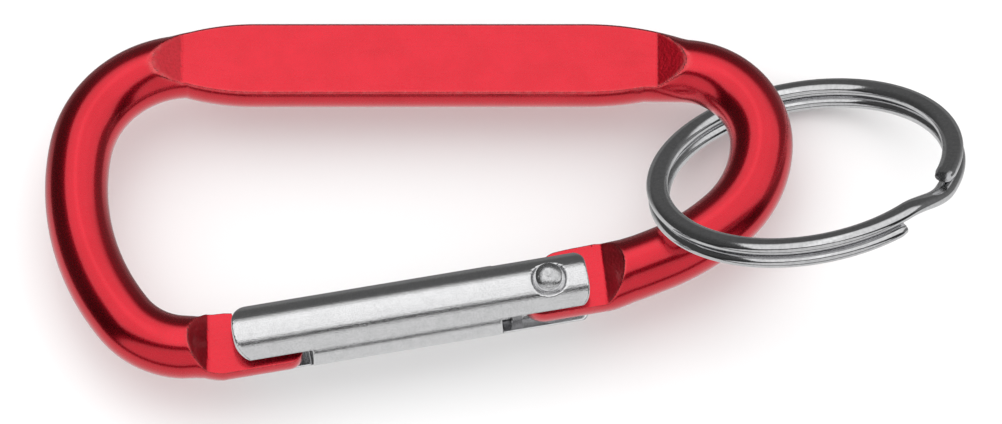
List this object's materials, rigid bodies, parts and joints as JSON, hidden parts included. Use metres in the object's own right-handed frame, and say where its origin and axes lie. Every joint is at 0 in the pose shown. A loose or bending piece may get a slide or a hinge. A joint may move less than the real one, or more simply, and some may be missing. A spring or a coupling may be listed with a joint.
{
  "type": "carabiner keyring",
  "caption": "Bent-rod carabiner with a flat pressed spine, a sprung gate on a rivet and a split ring threaded on its bend for keys.",
  "frame": {"origin": "middle of the spine's upper flat, between its two creases and on its centreline", "axes": "+X along the spine towards the split ring, +Y from the gate to the spine, +Z out of the upper flat"},
  "size_m": [0.0727, 0.0303, 0.0163],
  "materials": {
    "red_rod": "red anodised, satin gloss",
    "gate_metal": "tumbled satin",
    "rivet_steel": "bright",
    "plunger_steel": "plain",
    "spring_steel": "plain",
    "ring_nickel": "nickel plated, polished"
  },
  "bodies": {
    "frame": {"body": "red_rod", "rivet": "rivet_steel"},
    "gate": {"gate": "gate_metal", "spring": "spring_steel"},
    "plunger": {"plunger": "plunger_steel"},
    "ring": {"split_ring": "ring_nickel"}
  },
  "joints": [
    {"name": "gate_hinge", "type": "hinge", "parent": "frame", "child": "gate", "pos_m": [0.01025, -0.01947, -0.00143], "axis": [0, 0, -1], "range_deg": [0, 40], "stiffness_Nm_per_rad": 0.004, "springref_deg": -17.19},
    {"name": "plunger_slide", "type": "slide", "parent": "gate", "child": "plunger", "axis": [-0.984, -0.1781, 0], "range_m": [0, 0.001], "deforming": ["spring"]},
    {"name": "ring_turn", "type": "hinge", "parent": "frame", "child": "ring", "pos_m": [0.03055, -0.01042, 0.00128], "axis": [-0.1521, 0.5678, 0.809], "continuous": true}
  ],
  "couplings": [
    {"joint": "plunger_slide", "follows": "gate_hinge", "m_per_rad": 0.0012}
  ]
}
